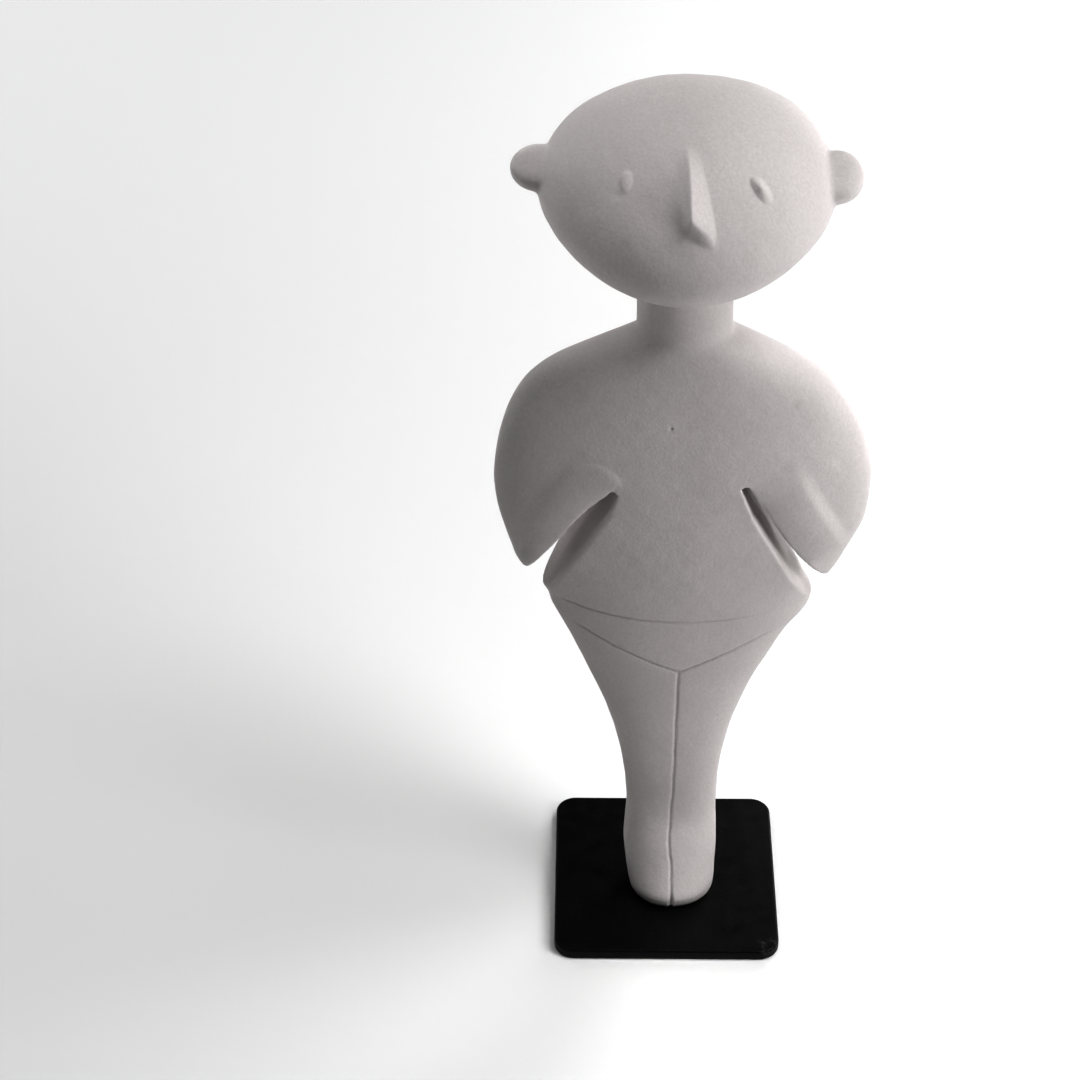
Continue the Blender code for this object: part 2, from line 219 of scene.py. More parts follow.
BELT_END_LESS = 0.7
VEE_CUT = (0.34, 0.22)
VEE_START_RUN = (0, 0.08)
VEE_END_RUN = (0.82, 1)
PIT = (-2.4, 131.2)
PIT_CUT = (0.4, 0.3)
BACK_LINE_CUT = (0.35, 0.7)
BACK_LINE_TOP_RUN = (52, 66)
FRONT_FACING = (0.05, 0.35)
BACK_FACING = (0.3, 0.7)
LINES_TOP_Z = 150
FULL_CREASE_DEPTH = 0.5

# Forearms: a crest along each, its fall on the outer side, and the hand's rounded end by the armpit
CREST_LINE = ((20.4, 124.4), (21.6, 122.1), (25.2, 114.9), (29.0, 107.6), (33.2, 99.4), (35.0, 95.8))
CREST_RISE = 0.75
CREST_FALL = 3.3
ARM_ROLL = 1.3
ARM_ROLL_REACH = 9.0
SLOT_MIDDLE = (9.6, 11.2)
HAND_CENTRE = (-18.6, 115.4)
HAND_RADIUS = 7.0
HAND_RISE = 0.4
WAIST_EDGES = {-1: (1.6, 0.45), 1: (0.45, 0.12)}
ARM_EDGE = (0.8, 0.25)
HAND_TO_ELBOW = (-0.545, -0.84)
CREST_SHARES = {1: 1.0, -1: 0.3}
CREST_START_RUN = (0.05, 0.38)
CREST_END_RUN = (0.86, 1)
FOREARM_HEIGHTS = (88, 130)
HAND_ROUND = 2
HAND_LENGTH = 9
HAND_SIDE_RUN = (3.0, 5.5)
HAND_FROM = (-9, 105)
FRONT_DEPTH = 4.5

# The belly's swell as (height, half-height, half-width, rise), and the waist's back beside the slots,
# which is thicker, as (x, height, half-width, half-height, rise)
BELLY = (95, 17, 20, 1.2)
WAIST_BACK = (24, 90, 7.5, 12, 1.9)
WAIST_SIDE_RUN = (-0.3, 0.3)
WAIST_BACK_RUN = (-2, 6)

# How far the carving swells, and the finished mesh: its grid, its rounds of softening and its triangles
SWELL = 0.05
VOXEL = 0.28
EVEN_ROUNDS = 18
FACE_EVEN_ROUNDS = 2
FACE_FROM_Z = 160
MOST_TRIANGLES = 190000

# Colours, and the faint darker spots on the stone as (place, radius, share of the dark colour).
# The dark colour darkens the pores, and it is also painted shade: in the cut lines, and in the two spots
# on the face, which are painted shadow below the nose and down to its left. The chest's spot is a darker
# mark.
STONE_DEEP = (0.597, 0.569, 0.566, 1)
STONE_PALE = (0.647, 0.616, 0.612, 1)
STONE_GRAIN = (0.50, 0.469, 0.466, 1)
STONE_DIRT_AND_SHADE = (0.26, 0.235, 0.22, 1)
PLATE_DEEP = (0.0008, 0.001, 0.0009, 1)
PLATE_PALE = (0.0018, 0.0022, 0.002, 1)
PLATE_DUST = (0.02, 0.02, 0.02, 1)
PLATE_SCUFF = (0.13, 0.125, 0.12, 1)
STONE_SPOTS_AND_SHADOWS = (
    ((23.1, -5.4, 136.0), 1.3, 0.16),
    ((-12.2, -11.5, 177.0), 1.2, 0.14),
    ((-2.0, -12.3, 177.9), 0.9, 0.12),
)
SCUFF_AT = (PLATE_HIGH.x - 2.0 * MM, PLATE_LOW.y + 2.2 * MM, PLATE_TOP)
SCUFF_RADIUS = 3.4 * MM

# Noise scales per metre, and how rough, glossy and uneven the two materials are
STONE_SCALES = {"cloud": 45, "grain": 1500, "pores": 620, "rough": 160, "low": 260, "fine": 1700}
STONE_GRAIN_SHARE = 0.5
STONE_PORE_SHARE = 0.25
STONE_PORE_RANGE = (0.74, 0.82)
# Painted shade in the cut lines: how much it darkens, and over which share of a line's depth it comes in
STONE_CREASE_SHARE = 0.2
STONE_CREASE_RANGE = (0.1, 1)
STONE_ROUGHNESS = (0.68, 0.82)
STONE_SPECULAR = 0.3
STONE_LOW_BUMP = (0.35, 0.00025)
STONE_FINE_BUMP = (0.45, 0.00011)
PLATE_SCALES = {"cloud": 90, "dust": 1500, "patches": 700, "rough": 300, "grain": 1800}
PLATE_DUST_SHARE = 0.35
PLATE_DUST_RANGE = (0.58, 0.72)
PLATE_SCUFF_SHARE = 0.8
PLATE_SCUFF_RANGE = (0.5, 0.7)
PLATE_ROUGHNESS = (0.36, 0.5)
PLATE_SPECULAR = 0.15
PLATE_BUMP = (0.25, 0.00008)
PLATE_CORNER_SEGMENTS = 24
PLATE_RIM_SEGMENTS = 6
PLATE_SHARP_ANGLE = 35


def along(table, z, column):
    """Values between a table's rows, on a smooth curve through them."""
    zs, vs = table[:, 0], table[:, column]
    slope = np.empty(len(zs))
    slope[1:-1] = (vs[2:] - vs[:-2]) / (zs[2:] - zs[:-2])
    slope[0] = (vs[1] - vs[0]) / (zs[1] - zs[0])
    slope[-1] = (vs[-1] - vs[-2]) / (zs[-1] - zs[-2])
    z = np.clip(z, zs[0], zs[-1])
    i = np.clip(np.searchsorted(zs, z, side="right") - 1, 0, len(zs) - 2)
    step = zs[i + 1] - zs[i]
    t = (z - zs[i]) / step
    return (
        (2 * t**3 - 3 * t**2 + 1) * vs[i]
        + (t**3 - 2 * t**2 + t) * step * slope[i]
        + (3 * t**2 - 2 * t**3) * vs[i + 1]
        + (t**3 - t**2) * step * slope[i + 1]
    )


def smooth_step(low, high, x):
    t = np.clip((x - low) / (high - low), 0, 1)
    return t * t * (3 - 2 * t)


def half_width(z, side):
    shoulder = along(WIDTHS, z, 1 if side < 0 else 2)
    blended = 0.5 * (NECK_HALF_WIDTH + shoulder + np.hypot(NECK_HALF_WIDTH - shoulder, NECK_BLEND))
    return np.where(z > NECK_BLEND_Z, blended, shoulder)


def section(z):
    """The trunk's middle, half-depth and roundness at a height."""
    front, back = along(DEPTHS, z, 1), along(DEPTHS, z, 2)
    power = SECTION_POWER - NECK_POWER_LESS * smooth_step(*NECK_POWER_RUN, z)
    power = power - FOOT_POWER_LESS * (1 - smooth_step(*FOOT_POWER_RUN, z))
    return (front + back) / 2, (back - front) / 2, power


def mesh_object(name, points, faces):
    mesh = bpy.data.meshes.new(name)
    mesh.from_pydata([tuple(p) for p in points], [], [tuple(f) for f in faces])
    mesh.update()
    made = bpy.data.objects.new(name, mesh)
    bpy.context.scene.collection.objects.link(made)
    return made


def ring_faces(count, around):
    """Faces between closed rings of points that follow one another."""
    faces = []
    for ring in range(count - 1):
        low, high = ring * around, (ring + 1) * around
        for i in range(around):
            after = (i + 1) % around
            faces.append((low + i, low + after, high + after, high + i))
    return faces


def trunk():
    around = TRUNK_AROUND
    heights = np.concatenate([[0], *(np.linspace(*run) for run in TRUNK_RINGS)])
    angle = 2 * np.pi * (np.arange(around) + 0.5) / around
    c, s = np.cos(angle), np.sin(angle)
    rings = []
    for z in heights:
        middle, depth, power = section(z)
        inset = SOLE_ROUND if z == 0 else 0
        wide = np.where(c < 0, half_width(z, -1), half_width(z, 1)) - inset
        x = wide * np.sign(c) * np.abs(c) ** (2 / power)
        y = middle + (depth - inset) * np.sign(s) * np.abs(s) ** (2 / power)
        rings.append(np.stack([x, y, np.full(around, z)], 1))
    count = len(heights)
    faces = ring_faces(count, around)
    faces.append(tuple(range(around))[::-1])
    faces.append(tuple(range((count - 1) * around, count * around)))
    return mesh_object("trunk", np.concatenate(rings), faces)


def head_place():
    tilt = Matrix.Rotation(-math.radians(HEAD_TILT), 4, "X")
    turn = tilt @ Matrix.Rotation(math.radians(HEAD_ROLL), 4, "Y")
    return Matrix.Translation((HEAD_OFFSET_X, HEAD_CENTRE_Y, HEAD_CENTRE_Z)) @ turn


def width_share(z):
    chin = CHIN_NARROWING * max(0, -z / HEAD_HALF[2]) ** CHIN_POWER
    return 1 - chin + CROWN_WIDENING * max(0, z / HEAD_HALF[2]) ** 2


def crown_shift(z):
    return CROWN_SHIFT * max(0, z / HEAD_HALF[2]) ** 2


def object_of(bm, name):
    bmesh.ops.recalc_face_normals(bm, faces=bm.faces)
    mesh = bpy.data.meshes.new(name)
    bm.to_mesh(mesh)
    bm.free()
    made = bpy.data.objects.new(name, mesh)
    bpy.context.scene.collection.objects.link(made)
    return made


def sphere(segments):
    bm = bmesh.new()
    bmesh.ops.create_uvsphere(bm, u_segments=segments[0], v_segments=segments[1], radius=1)
    return bm


def lobe(name, place):
    """A rounded lobe with a flat front and back."""
    bm = sphere(EAR_SEGMENTS)
    for vert in bm.verts:
        out = math.hypot(vert.co.x, vert.co.z)
        vert.co.y = math.copysign(max(0, 1 - out**EAR_FLATNESS) ** (1 / EAR_FLATNESS), vert.co.y)
    bmesh.ops.transform(bm, matrix=place, verts=bm.verts)
    return object_of(bm, name)


def head_forms():
    place = head_place()
    bm = sphere(HEAD_SEGMENTS)
    for vert in bm.verts:
        z = vert.co.z * HEAD_HALF[2]
        x = vert.co.x * HEAD_HALF[0] * width_share(z) + crown_shift(z)
        vert.co = (x, vert.co.y * HEAD_HALF[1], z)
    bmesh.ops.transform(bm, matrix=place, verts=bm.verts)
    forms = [object_of(bm, "head")]
    turn = place.to_3x3().to_4x4()
    for x, z, wide, tall in EARS:
        at = Matrix.Translation(place @ Vector((x, EAR_SET_BACK, z)))
        forms.append(lobe("ear", at @ turn @ Matrix.Diagonal((wide, EAR_HALF_DEPTH, tall, 1))))
    return forms


def on_head_axes(points):
    """The points on the head's own axes, and the direction into the head."""
    place = np.array(head_place())
    return ((points - place[:3, 3]) @ place[:3, :3]).T, place[:3, 1]


def nose_relief(x, z):
    """A ridge that runs down to the tip, with a flank on each side and a soft underside."""
    (top_x, top_z), (tip_x, tip_z) = NOSE_TOP, NOSE_TIP
    down = np.clip((top_z - z) / (top_z - tip_z), 0, 1.1)
    ridge = np.clip(down, 0, 1)
    from_crest = x - top_x - (tip_x - top_x) * ridge**NOSE_RIDGE_BEND
    foot = tip_z - NOSE_FOOT_FALL * np.maximum(from_crest, 0)
    near, far = NOSE_UNDERSIDE
    reach = near + (far - near) * (1 - smooth_step(-NOSE_UNDERSIDE_RUN, 0, from_crest))
    under = smooth_step(0, 1, (z - foot + near) / reach)
    wide = NOSE_TOP_HALF_WIDTH + NOSE_WIDENING * down
    right = np.clip(1 - from_crest / wide, 0, 1) ** NOSE_RIGHT_POWER
    left = np.clip(1 + from_crest / (NOSE_LEFT_WIDTH_SHARE * wide), 0, 1) ** NOSE_LEFT_POWER
    crest = NOSE_HEIGHT * ridge**NOSE_PROFILE_POWER
    return crest * np.where(from_crest > 0, right, left) * under


def eye_relief(x, z, at_x, at_z, half_wide, half_tall, lean, rise, slant):
    """An oval pellet, domed or, as far as its slant says, wedge-shaped."""
    c, s = math.cos(math.radians(lean)), math.sin(math.radians(lean))
    u = ((x - at_x) * c - (z - at_z) * s) / half_wide
    v = ((x - at_x) * s + (z - at_z) * c) / half_tall
    out = np.sqrt(u * u + v * v)
    dome = np.clip(EYE_DOME_EDGE - out, 0, 1)
    wedge = smooth_step(0, EYE_WEDGE_ROUND, EYE_WEDGE_EDGE - out) * (EYE_WEDGE_MIDDLE - EYE_WEDGE_SLOPE * u)
    return rise * ((1 - slant) * dome + slant * wedge)


def face_relief(points):
    """How far the nose and the eyes stand out of the face, and the direction into the head."""
    (x, y, z), inward = on_head_axes(points)
    relief = nose_relief(x, z)
    for eye in EYES:
        relief = np.maximum(relief, eye_relief(x, z, *eye))
    from_pit = (x - EYE_PIT[0]) ** 2 + (z - EYE_PIT[1]) ** 2
    relief -= EYE_PIT_DEPTH * np.exp(-from_pit / EYE_PIT_SPREAD)
    return relief * (y < 0), inward


def ear_join(points):
    """How near each point is to the line where an ear runs into the head, from 0 to 1."""
    x, y, z = on_head_axes(points)[0]
    near_ear = 1 - smooth_step(*EAR_JOIN_REACH, np.abs(z - EARS[0][1]))
    shell = np.sqrt((x / HEAD_HALF[0]) ** 2 + (y / HEAD_HALF[1]) ** 2 + (z / HEAD_HALF[2]) ** 2)
    apart = (shell - 1) * HEAD_HALF[0]
    return near_ear * np.exp(-(apart / EAR_JOIN_WIDTH) ** 2) * (np.abs(x) > EAR_JOIN_FROM_X)


def slot_cutter(side):
    (x, z), waist, arm = SLOTS[side]
    turns = np.radians(np.linspace(*SLOT_TOP_TURNS))
    points = [(x + SLOT_TOP_RADIUS * math.cos(a), z + SLOT_TOP_RADIUS * math.sin(a)) for a in turns]
    points += list(waist)
    points += [(SLOT_OPENING_X, z - SLOT_OPENING_DROP) for z in (waist[-1][1], arm[0][1])]
    points += [(arm[0][0] + SLOT_ARM_CORNER[0], arm[0][1] - SLOT_ARM_CORNER[1])]
    points += list(arm)
    bm = bmesh.new()
    face = bm.faces.new([bm.verts.new((side * px, -SLOT_CUT_REACH, pz)) for px, pz in points])
    pushed = bmesh.ops.extrude_face_region(bm, geom=[face])
    moved = [g for g in pushed["geom"] if isinstance(g, bmesh.types.BMVert)]
    bmesh.ops.translate(bm, verts=moved, vec=(0, 2 * SLOT_CUT_REACH, 0))
    return object_of(bm, "slot_cutter")


def evaluated(obj):
    graph = bpy.context.evaluated_depsgraph_get()
    return bpy.data.meshes.new_from_object(obj.evaluated_get(graph))


def remove(objects):
    for obj in objects:
        bpy.data.objects.remove(obj, do_unlink=True)


def joined(objects):
    """One mesh of several overlapping closed shells."""
    bm = bmesh.new()
    for obj in objects:
        bm.from_mesh(obj.data)
    remove(objects)
    return object_of(bm, "shells")


def points_of(mesh):
    out = np.empty(len(mesh.vertices) * 3)
    mesh.vertices.foreach_get("co", out)
    return out.reshape(-1, 3)


def normals_of(mesh):
    out = np.empty(len(mesh.vertices) * 3, np.float32)
    mesh.vertex_normals.foreach_get("vector", out)
    return out.reshape(-1, 3).astype(float)


def softened(points, edges, rounds, weight=0.5, back=1.04):
    """Evens the mesh out. Every second round pushes back, which keeps the size, unless back is -1."""
    count = len(points)
    a, b = edges[:, 0], edges[:, 1]
    degree = np.bincount(np.concatenate([a, b]), minlength=count)[:, None]
    for i in range(rounds):
        total = np.stack([
            np.bincount(a, points[b, k], count) + np.bincount(b, points[a, k], count) for k in range(3)
        ], 1)
        step = weight if i % 2 == 0 else -weight * back
        points = points + step * (total / degree - points)
    return points


def distance_to_line(x, z, line):
    """Each point's distance from a broken line, how far along that is from 0 to 1, and on which side."""
    line = np.array(line, float)
    steps = np.hypot(*(line[1:] - line[:-1]).T)
    total = steps.sum()
    best = np.full(len(x), 1e9)
    where = np.zeros(len(x))
    side = np.zeros(len(x))
    gone = 0
    for (ax, az), (bx, bz), step in zip(line[:-1], line[1:], steps):
        dx, dz = (bx - ax) / step, (bz - az) / step
        t = np.clip((x - ax) * dx + (z - az) * dz, 0, step)
        px, pz = x - ax - t * dx, z - az - t * dz
        d = np.hypot(px, pz)
        near = d < best
        best = np.where(near, d, best)
        where = np.where(near, (gone + t) / total, where)
        side = np.where(near, np.sign(dx * pz - dz * px), side)
        gone += step
    return best, where, side


def groove(distance, cut):
    depth, wide = cut
    return depth * np.exp(-(distance / wide) ** 2)


def cut_lines(x, z):
    """How deep the lines on the front are cut at each point."""
    wave = 0.05 * np.sin(z * 0.7) + 0.03 * np.sin(z * 2.3 + 1)
    d = distance_to_line(x - wave, z, LEG_LINE)[0]
    leg = groove(d, LEG_CUT) * (1 + 0.12 * np.sin(z * 1.7))
    leg += groove(d, TOE_NOTCH_CUT) * np.exp(-((z - TOE_NOTCH_Z) / TOE_NOTCH_HALF_HEIGHT) ** 2)
    d, t = distance_to_line(x, z + 0.03 * np.sin(x * 2.1), BELT_LINE)[:2]
    fade = 1 - BELT_END_LESS * smooth_step(*BELT_END_RUN, t)
    belt = groove(d, BELT_CUT) * smooth_step(*BELT_START_RUN, t) * fade
    d, t = distance_to_line(x, z + 0.03 * np.sin(x * 1.7), VEE_LINE)[:2]
    vee = groove(d, VEE_CUT) * smooth_step(*VEE_START_RUN, t) * (1 - smooth_step(*VEE_END_RUN, t))
    depth, radius = PIT_CUT
    pit = depth * np.exp(-(np.hypot(x - PIT[0], z - PIT[1]) / radius) ** 4)
    return np.maximum.reduce([leg, belt, vee, pit])


def carved(points, normals):
    """Cuts the lines and raises the forearms and belly. Also says how deep in a line each point lies."""
    x, y, z = points.T
    front = smooth_step(*FRONT_FACING, -normals[:, 1]) * (z < LINES_TOP_Z)
    line = cut_lines(x, z) * front
    moved = points - normals * line[:, None]
    high, tall, wide, rise = BELLY
    belly = rise * np.exp(-((z - high) / tall) ** 2 - (x / wide) ** 2)
    near_front = 1 - smooth_step(0, FRONT_DEPTH, y - front_of(x, z))
    moved[:, 1] -= (forearm_relief(x, z) + belly) * near_front
    moved[:, 1] += waist_thickening(x, y, z)
    back_line = groove(x, BACK_LINE_CUT) * smooth_step(*BACK_FACING, normals[:, 1])
    back_line = back_line * (1 - smooth_step(*BACK_LINE_TOP_RUN, z))
    moved -= normals * back_line[:, None]
    return moved, np.clip(line / FULL_CREASE_DEPTH + back_line, 0, 1)


def waist_thickening(x, y, z):
    """Sets the waist's back further out beside the slots."""
    at_x, at_z, half_wide, half_tall, rise = WAIST_BACK
    inside = np.zeros(len(x))
    for side in (-1, 1):
        top, waist, _ = SLOTS[side]
        d, s = distance_to_line(side * x, z, (top, *waist))[::2]
        inside += smooth_step(*WAIST_SIDE_RUN, -d * s) * (side * x > 0)
    near = np.exp(-((np.abs(x) - at_x) / half_wide) ** 2 - ((z - at_z) / half_tall) ** 2)
    return rise * near * inside * smooth_step(*WAIST_BACK_RUN, y)


def front_of(x, z):
    """Where the trunk's front lies before it is carved."""
    middle, depth, power = section(z)
    wide = np.where(x < 0, half_width(z, -1), half_width(z, 1))
    return middle - depth * np.clip(1 - np.clip(np.abs(x) / wide, 0, 1) ** power, 0, 1) ** (1 / power)


def crest_relief(x, z):
    """A crest along each forearm, and the arm's roll towards its slot."""
    relief = np.zeros(len(x))
    low, high = FOREARM_HEIGHTS
    for side, share in CREST_SHARES.items():
        d, t, s = distance_to_line(side * x, z, CREST_LINE)
        outer = d * s
        away = 1 - smooth_step(*SLOT_MIDDLE, -outer)
        fall = share * CREST_RISE * (1 - smooth_step(0, CREST_FALL, outer))
        roll = ARM_ROLL * np.clip(-outer / ARM_ROLL_REACH, 0, 1.1) ** 2
        form = np.where(outer > 0, fall, share * CREST_RISE - roll * away) * away
        ends = smooth_step(*CREST_START_RUN, t) * (1 - smooth_step(*CREST_END_RUN, t))
        relief += form * ends * (side * x > 0) * (z > low) * (z < high)
    return relief


def hand_relief(x, z):
    """The rounded end of the left hand, which stands out of the chest by the armpit."""
    (cx, cz), (ax, az) = HAND_CENTRE, HAND_TO_ELBOW
    along_arm = (x - cx) * ax + (z - cz) * az
    on_arm = np.maximum(along_arm, 0)
    inside = np.maximum(HAND_RADIUS - np.hypot(x - cx - on_arm * ax, z - cz - on_arm * az), 0)
    across = (x - cx) * -az + (z - cz) * ax
    hand = (1 - np.exp(-inside / HAND_ROUND)) * (1 - smooth_step(0, HAND_LENGTH, along_arm))
    hand = hand * (1 - smooth_step(*HAND_SIDE_RUN, across))
    return HAND_RISE * hand * (x < HAND_FROM[0]) * (z > HAND_FROM[1])


def forearm_relief(x, z):
    """The forearms' crests and rolls, one hand's end, and the rounded rims of the slots."""
    relief = crest_relief(x, z) + hand_relief(x, z)
    for side in (-1, 1):
        top, waist, arm = SLOTS[side]
        for line, (round_off, fall) in (((top, *waist), WAIST_EDGES[side]), ((*arm, top), ARM_EDGE)):
            d = distance_to_line(side * x, z, line)[0]
            relief -= fall * np.clip(1 - d / round_off, 0, 1) ** 2 * (side * x > 0)
    return relief


def uneven(points, normals):
    """The slight swells that hand carving leaves."""
    x, y, z = points.T
    swell = (
        np.sin(x * 0.31 + z * 0.17 + 1.3) * np.sin(z * 0.23 - y * 0.29 + 0.4)
        + 0.6 * np.sin(x * 0.53 - z * 0.41 + 2.1) * np.sin(y * 0.47 + z * 0.37)
        + 0.3 * np.sin(x * 1.1 + 0.7) * np.sin(z * 0.93 + 1.9)
    )
    return points + normals * (SWELL * swell)[:, None]


def slotted_trunk():
    body = trunk()
    cutters = [slot_cutter(side) for side in (-1, 1)]
    for cutter in cutters:
        cut = body.modifiers.new("slot", "BOOLEAN")
        cut.operation = "DIFFERENCE"
        cut.object = cutter
        cut.solver = "EXACT"
    body.data = evaluated(body)
    body.modifiers.clear()
    remove(cutters)
    return body


def one_skin(shells):
    """A fine even mesh over the overlapping shells."""
    grid = shells.modifiers.new("grid", "REMESH")
    grid.mode = "VOXEL"
    grid.voxel_size = VOXEL
    mesh = evaluated(shells)
    remove([shells])
    return mesh


def triangles_of(mesh):
    return sum(len(p.vertices) - 2 for p in mesh.polygons)


def figure_cast():
    mesh = one_skin(joined([slotted_trunk(), *head_forms()]))
    edges = np.empty(len(mesh.edges) * 2, np.int64)
    mesh.edges.foreach_get("vertices", edges)
    edges = edges.reshape(-1, 2)
    points = softened(points_of(mesh), edges, EVEN_ROUNDS)
    points += ear_join(points)[:, None] * (softened(points, edges, EAR_JOIN_ROUNDS, back=-1) - points)
    mesh.vertices.foreach_set("co", points.ravel())
    mesh.update()
    points = uneven(points, normals_of(mesh))
    points, line = carved(points, normals_of(mesh))
    relief, inward = face_relief(points)
    points -= relief[:, None] * inward
    on_face = (points[:, 2] > FACE_FROM_Z)[:, None]
    points = np.where(on_face, softened(points, edges, FACE_EVEN_ROUNDS), points)
    # The soles reach down over the gap to the plate.
    gap = (SOLES - PLATE_TOP) / U
    points[:, 2] = np.where(points[:, 2] < SOLE_EDGE_Z, points[:, 2] - gap, points[:, 2])
    mesh.vertices.foreach_set("co", points.ravel())
    # How deep in a cut line each point lies, which the stone's colour turns into painted shade.
    crease = mesh.attributes.new("crease", "FLOAT", "POINT")
    crease.data.foreach_set("value", line.astype(np.float32))
    mesh.transform(Matrix.Translation((*FIGURE_OFFSET, SOLES)) @ Matrix.Scale(U, 4))
    mesh.update()
    cast = bpy.data.objects.new("figure_cast", mesh)
    bpy.context.scene.collection.objects.link(cast)
    triangles = triangles_of(mesh)
    if triangles > MOST_TRIANGLES:
        thin = cast.modifiers.new("thin", "DECIMATE")
        thin.ratio = MOST_TRIANGLES / triangles
        cast.data = evaluated(cast)
        cast.modifiers.clear()
    cast.data.shade_smooth()
    print("figure triangles", triangles, "->", triangles_of(cast.data))
    return cast


def nodes_of(name):
    made = bpy.data.materials.new(name)
    made.use_nodes = True
    tree = made.node_tree
    return made, tree.nodes, tree.links, tree.nodes["Principled BSDF"]


def noise(nodes, links, place, scale, detail=3, roughness=0.5):
    made = nodes.new("ShaderNodeTexNoise")
    made.inputs["Scale"].default_value = scale
    made.inputs["Detail"].default_value = detail
    made.inputs["Roughness"].default_value = roughness
    links.new(place, made.inputs["Vector"])
    return made.outputs["Fac"]


def spread(nodes, links, value, low, high, from_low=0.3, from_high=0.7):
    made = nodes.new("ShaderNodeMapRange")
    made.inputs["From Min"].default_value = from_low
    made.inputs["From Max"].default_value = from_high
    made.inputs["To Min"].default_value = low
    made.inputs["To Max"].default_value = high
    links.new(value, made.inputs["Value"])
    return made.outputs["Result"]


def mixed(nodes, links, share, a, b):
    made = nodes.new("ShaderNodeMix")
    made.data_type = "RGBA"
    links.new(share, made.inputs["Factor"])
    for socket, value in ((made.inputs[6], a), (made.inputs[7], b)):
        if isinstance(value, tuple):
            socket.default_value = value
        else:
            links.new(value, socket)
    return made.outputs[2]


def bump(nodes, links, height, strength, distance, under=None):
    made = nodes.new("ShaderNodeBump")
    made.inputs["Strength"].default_value = strength
    made.inputs["Distance"].default_value = distance
    links.new(height, made.inputs["Height"])
    if under is not None:
        links.new(under, made.inputs["Normal"])
    return made.outputs["Normal"]


def near_spot(nodes, links, place, at, radius):
    """1 at a spot, falling to 0 at its radius."""
    apart = nodes.new("ShaderNodeVectorMath")
    apart.operation = "DISTANCE"
    links.new(place, apart.inputs[0])
    apart.inputs[1].default_value = at
    return spread(nodes, links, apart.outputs["Value"], 1, 0, radius * 0.3, radius)


def cast_stone():
    made, nodes, links, shader = nodes_of("white_cast_stone")
    place = nodes.new("ShaderNodeTexCoord").outputs["Object"]
    scale = STONE_SCALES
    cloud = spread(nodes, links, noise(nodes, links, place, scale["cloud"], 4), 0, 1)
    colour = mixed(nodes, links, cloud, STONE_DEEP, STONE_PALE)
    grain = spread(nodes, links, noise(nodes, links, place, scale["grain"], 3, 0.7), 0, 1)
    grain = spread(nodes, links, grain, 0, STONE_GRAIN_SHARE, 0, 1)
    colour = mixed(nodes, links, grain, colour, STONE_GRAIN)
    pores = noise(nodes, links, place, scale["pores"], 2)
    pores = spread(nodes, links, pores, 0, STONE_PORE_SHARE, *STONE_PORE_RANGE)
    colour = mixed(nodes, links, pores, colour, STONE_DIRT_AND_SHADE)
    # Painted shade: the cut lines on the front and the back are darkened by how deep they are cut.
    crease = nodes.new("ShaderNodeAttribute")
    crease.attribute_name = "crease"
    crease_shade = spread(nodes, links, crease.outputs["Fac"], 0, STONE_CREASE_SHARE, *STONE_CREASE_RANGE)
    colour = mixed(nodes, links, crease_shade, colour, STONE_DIRT_AND_SHADE)
    # The two spots on the face are painted shadow below the nose and down to its left; the chest's is a
    # darker mark.
    for at, radius, share in STONE_SPOTS_AND_SHADOWS:
        middle = Vector((*FIGURE_OFFSET, SOLES)) + Vector(at) * U
        spot = spread(nodes, links, near_spot(nodes, links, place, middle, radius * U), 0, share, 0, 1)
        colour = mixed(nodes, links, spot, colour, STONE_DIRT_AND_SHADE)
    links.new(colour, shader.inputs["Base Color"])
    rough = spread(nodes, links, noise(nodes, links, place, scale["rough"]), *STONE_ROUGHNESS)
    links.new(rough, shader.inputs["Roughness"])
    shader.inputs["Specular IOR Level"].default_value = STONE_SPECULAR
    low = bump(nodes, links, noise(nodes, links, place, scale["low"]), *STONE_LOW_BUMP)
    fine = bump(nodes, links, noise(nodes, links, place, scale["fine"], 3, 0.6), *STONE_FINE_BUMP, low)
    links.new(fine, shader.inputs["Normal"])
    return made


def black_satin():
    made, nodes, links, shader = nodes_of("black_plate")
    place = nodes.new("ShaderNodeTexCoord").outputs["Object"]
    scale = PLATE_SCALES
    cloud = spread(nodes, links, noise(nodes, links, place, scale["cloud"], 4), 0, 1)
    colour = mixed(nodes, links, cloud, PLATE_DEEP, PLATE_PALE)
    dust = noise(nodes, links, place, scale["dust"], 2)
    speck = spread(nodes, links, dust, 0, PLATE_DUST_SHARE, *PLATE_DUST_RANGE)
    colour = mixed(nodes, links, speck, colour, PLATE_DUST)
    patches = noise(nodes, links, place, scale["patches"], 4, 0.7)
    scuff = nodes.new("ShaderNodeMath")
    scuff.operation = "MULTIPLY"
    links.new(near_spot(nodes, links, place, SCUFF_AT, SCUFF_RADIUS), scuff.inputs[0])
    links.new(spread(nodes, links, patches, 0, PLATE_SCUFF_SHARE, *PLATE_SCUFF_RANGE), scuff.inputs[1])
    colour = mixed(nodes, links, scuff.outputs["Value"], colour, PLATE_SCUFF)
    links.new(colour, shader.inputs["Base Color"])
    rough = spread(nodes, links, noise(nodes, links, place, scale["rough"], 4), *PLATE_ROUGHNESS)
    links.new(rough, shader.inputs["Roughness"])
    shader.inputs["Specular IOR Level"].default_value = PLATE_SPECULAR
    grain = noise(nodes, links, place, scale["grain"], 2)
    links.new(bump(nodes, links, grain, *PLATE_BUMP), shader.inputs["Normal"])
    return made


def rise_of(edge):
    return abs(edge.verts[0].co.z - edge.verts[1].co.z)


def rounded(bm, edges, radius, segments):
    bmesh.ops.bevel(bm, geom=edges, offset=radius, segments=segments, profile=0.5, affect="EDGES")


